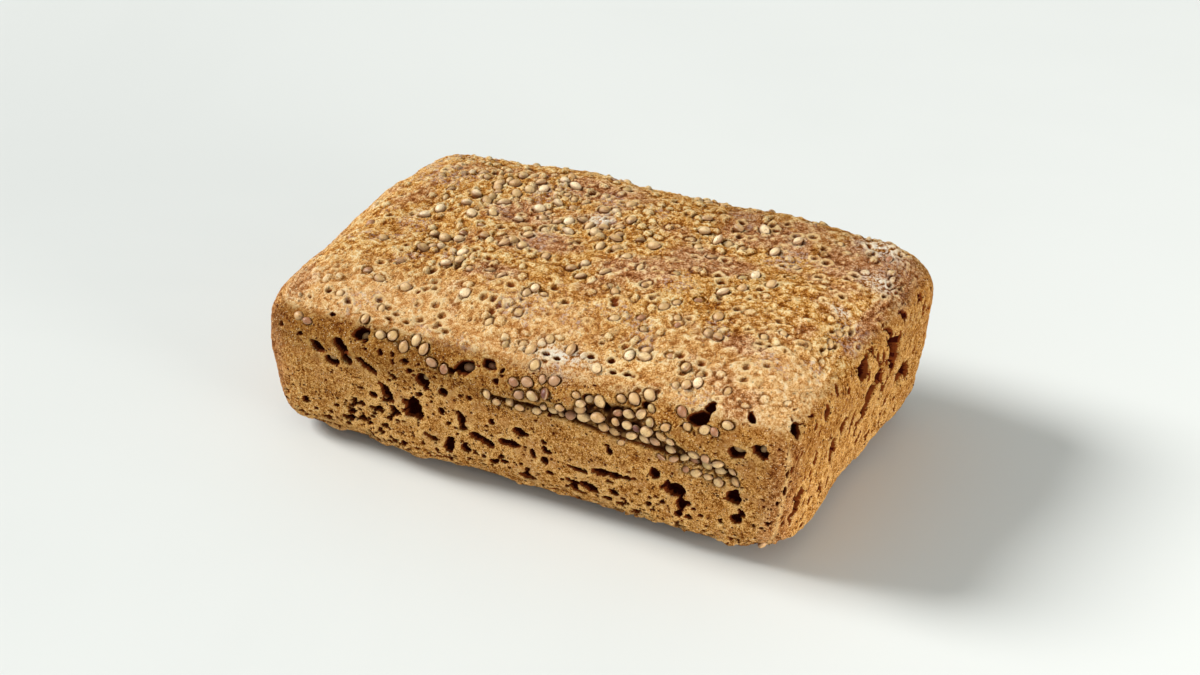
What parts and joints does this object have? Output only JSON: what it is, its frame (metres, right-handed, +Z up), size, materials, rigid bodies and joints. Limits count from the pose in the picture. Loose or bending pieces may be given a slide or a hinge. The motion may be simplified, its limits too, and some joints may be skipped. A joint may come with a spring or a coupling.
{
  "type": "tin loaf of bread",
  "caption": "Low tin-baked loaf with tapered sides, pitted crust, whole seeds set in the top and a seeded fold along the front.",
  "frame": {"origin": "middle of the loaf's flat base, in the plane that it stands on", "axes": "+X along the loaf towards its higher end, +Y away from the side with the seeded fold, +Z up"},
  "size_m": [0.1896, 0.1227, 0.0667],
  "materials": {
    "crust": "matt, rough, porous"
  },
  "bodies": {
    "root": {"loaf": "crust"}
  },
  "joints": []
}
